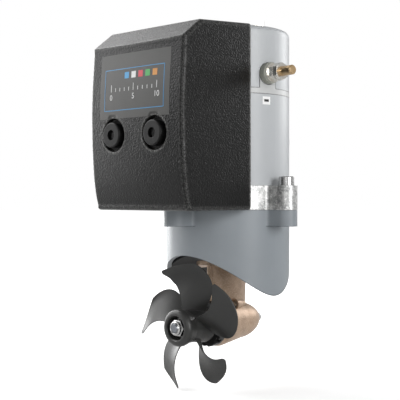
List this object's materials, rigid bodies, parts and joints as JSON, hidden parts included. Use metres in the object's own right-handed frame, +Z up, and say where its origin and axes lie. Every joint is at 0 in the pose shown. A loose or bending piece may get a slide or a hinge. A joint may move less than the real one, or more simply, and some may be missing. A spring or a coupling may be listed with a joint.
{
  "type": "tunnel thruster",
  "caption": "Electric bow thruster: upright motor with a control cover on a tunnel saddle, geared to a skewed propeller on a bronze leg that hangs inside the tunnel.",
  "frame": {"origin": "where the motor's axis crosses the tunnel's axis, in the gear pod", "axes": "+Z up along the motor shaft; Y along the tunnel, with the propeller and the control cover facing -Y; +X towards the battery stud"},
  "size_m": [0.1594, 0.1906, 0.3142],
  "materials": {
    "motor_paint": "satin grey paint",
    "bracket_cast": "blasted cast metal, slightly mottled",
    "skirt_paint": "satin grey paint on a cast surface",
    "bronze_cast": "sand-cast bronze, dull",
    "propeller_plastic": "dark glass-filled plastic",
    "black_rubber": "matt",
    "black_plastic": "matt",
    "cover_plastic": "lightly grained moulded plastic",
    "zinc": "dull cast zinc",
    "steel": "machined",
    "stainless": "polished stainless",
    "nickel": "bright plated",
    "stud_brass": "pale brass, threaded",
    "copper": "bare copper",
    "insulator": "grey-brown moulded insulator",
    "band_metal": "pale grey ring",
    "lamination": "laminated iron",
    "carbon": "pressed carbon",
    "oil_brass": "turned",
    "zinc_sheet": "zinc-plated sheet"
  },
  "bodies": {
    "thruster": {"motor_housing": "motor_paint", "pole_screws": "steel", "motor_end_cap": "motor_paint", "brush_band": "band_metal", "drive_end_shield": "bracket_cast", "motor_bearings": "steel", "pole_shoes": "lamination", "field_coils": "copper", "brush_plate": "zinc_sheet", "brushes": "carbon", "brush_springs": "stainless", "through_bolts": "nickel", "terminal_insulators": "insulator", "terminal_studs": "stud_brass", "terminal_nuts": "nickel", "motor_bracket": "bracket_cast", "saddle_bracket": "skirt_paint", "tunnel_gasket": "black_rubber", "bracket_bolts": "stainless", "leg_screws": "stainless", "gear_leg": "bronze_cast", "oil_plug": "stainless", "upper_shaft_bearing": "steel", "drive_shaft_seal": "black_rubber", "lower_shaft_bush": "oil_brass", "front_propeller_bearing": "steel", "rear_propeller_bearing": "steel", "propeller_shaft_seal": "black_rubber", "seal_cap": "black_plastic", "zinc_anode": "zinc", "control_cover": "cover_plastic", "cover_studs": "stainless", "contactor_bracket": "zinc_sheet", "contactor_cans": "zinc_sheet", "contactor_coils": "copper", "contactor_caps": "black_plastic", "contactor_studs": "copper", "busbars": "copper", "control_box": "black_plastic"},
    "rotor": {"armature_core": "lamination", "armature_winding": "copper", "commutator": "copper", "motor_shaft": "steel", "motor_coupling_half": "bracket_cast", "coupling_spider": "black_rubber", "shaft_coupling_half": "bracket_cast", "drive_shaft": "stainless", "drive_pinion": "steel"},
    "propeller": {"propeller_shaft": "stainless", "crown_gear": "steel", "propeller": "propeller_plastic", "drive_pin": "stainless", "propeller_washer": "stainless", "propeller_nut": "stainless"},
    "left_washer": {"left_knob_washer": "black_rubber"},
    "left_knob": {"left_cover_knob": "black_plastic"},
    "right_washer": {"right_knob_washer": "black_rubber"},
    "right_knob": {"right_cover_knob": "black_plastic"},
    "left_plunger": {"left_contactor_plunger": "steel"},
    "right_plunger": {"right_contactor_plunger": "steel"}
  },
  "joints": [
    {"name": "rotor_spin", "type": "hinge", "parent": "thruster", "child": "rotor", "pos_m": [0, 0, 0.157], "axis": [0, 0, 1], "continuous": true},
    {"name": "propeller_spin", "type": "hinge", "parent": "thruster", "child": "propeller", "pos_m": [0, -0.045, 0], "axis": [0, 1, 0], "continuous": true},
    {"name": "left_washer_travel", "type": "slide", "parent": "thruster", "child": "left_washer", "axis": [0, -1, 0], "range_m": [0, 0.0025]},
    {"name": "left_knob_turn", "type": "hinge", "parent": "left_washer", "child": "left_knob", "pos_m": [-0.0242, -0.112, 0.1603], "axis": [0, -1, 0], "range_deg": [0, 720.1]},
    {"name": "right_washer_travel", "type": "slide", "parent": "thruster", "child": "right_washer", "axis": [0, -1, 0], "range_m": [0, 0.0025]},
    {"name": "right_knob_turn", "type": "hinge", "parent": "right_washer", "child": "right_knob", "pos_m": [0.0242, -0.112, 0.1603], "axis": [0, -1, 0], "range_deg": [0, 720.1]},
    {"name": "left_plunger_lift", "type": "slide", "parent": "thruster", "child": "left_plunger", "axis": [0, 0, 1], "range_m": [0, 0.0018], "stiffness_N_per_m": 400, "springref_m": -0.002},
    {"name": "right_plunger_lift", "type": "slide", "parent": "thruster", "child": "right_plunger", "axis": [0, 0, 1], "range_m": [0, 0.0018], "stiffness_N_per_m": 400, "springref_m": -0.002}
  ],
  "couplings": [
    {"joint": "propeller_spin", "follows": "rotor_spin", "ratio": -0.65},
    {"joint": "left_knob_turn", "follows": "left_washer_travel", "rad_per_m": 5026.5},
    {"joint": "right_knob_turn", "follows": "right_washer_travel", "rad_per_m": 5026.5}
  ]
}
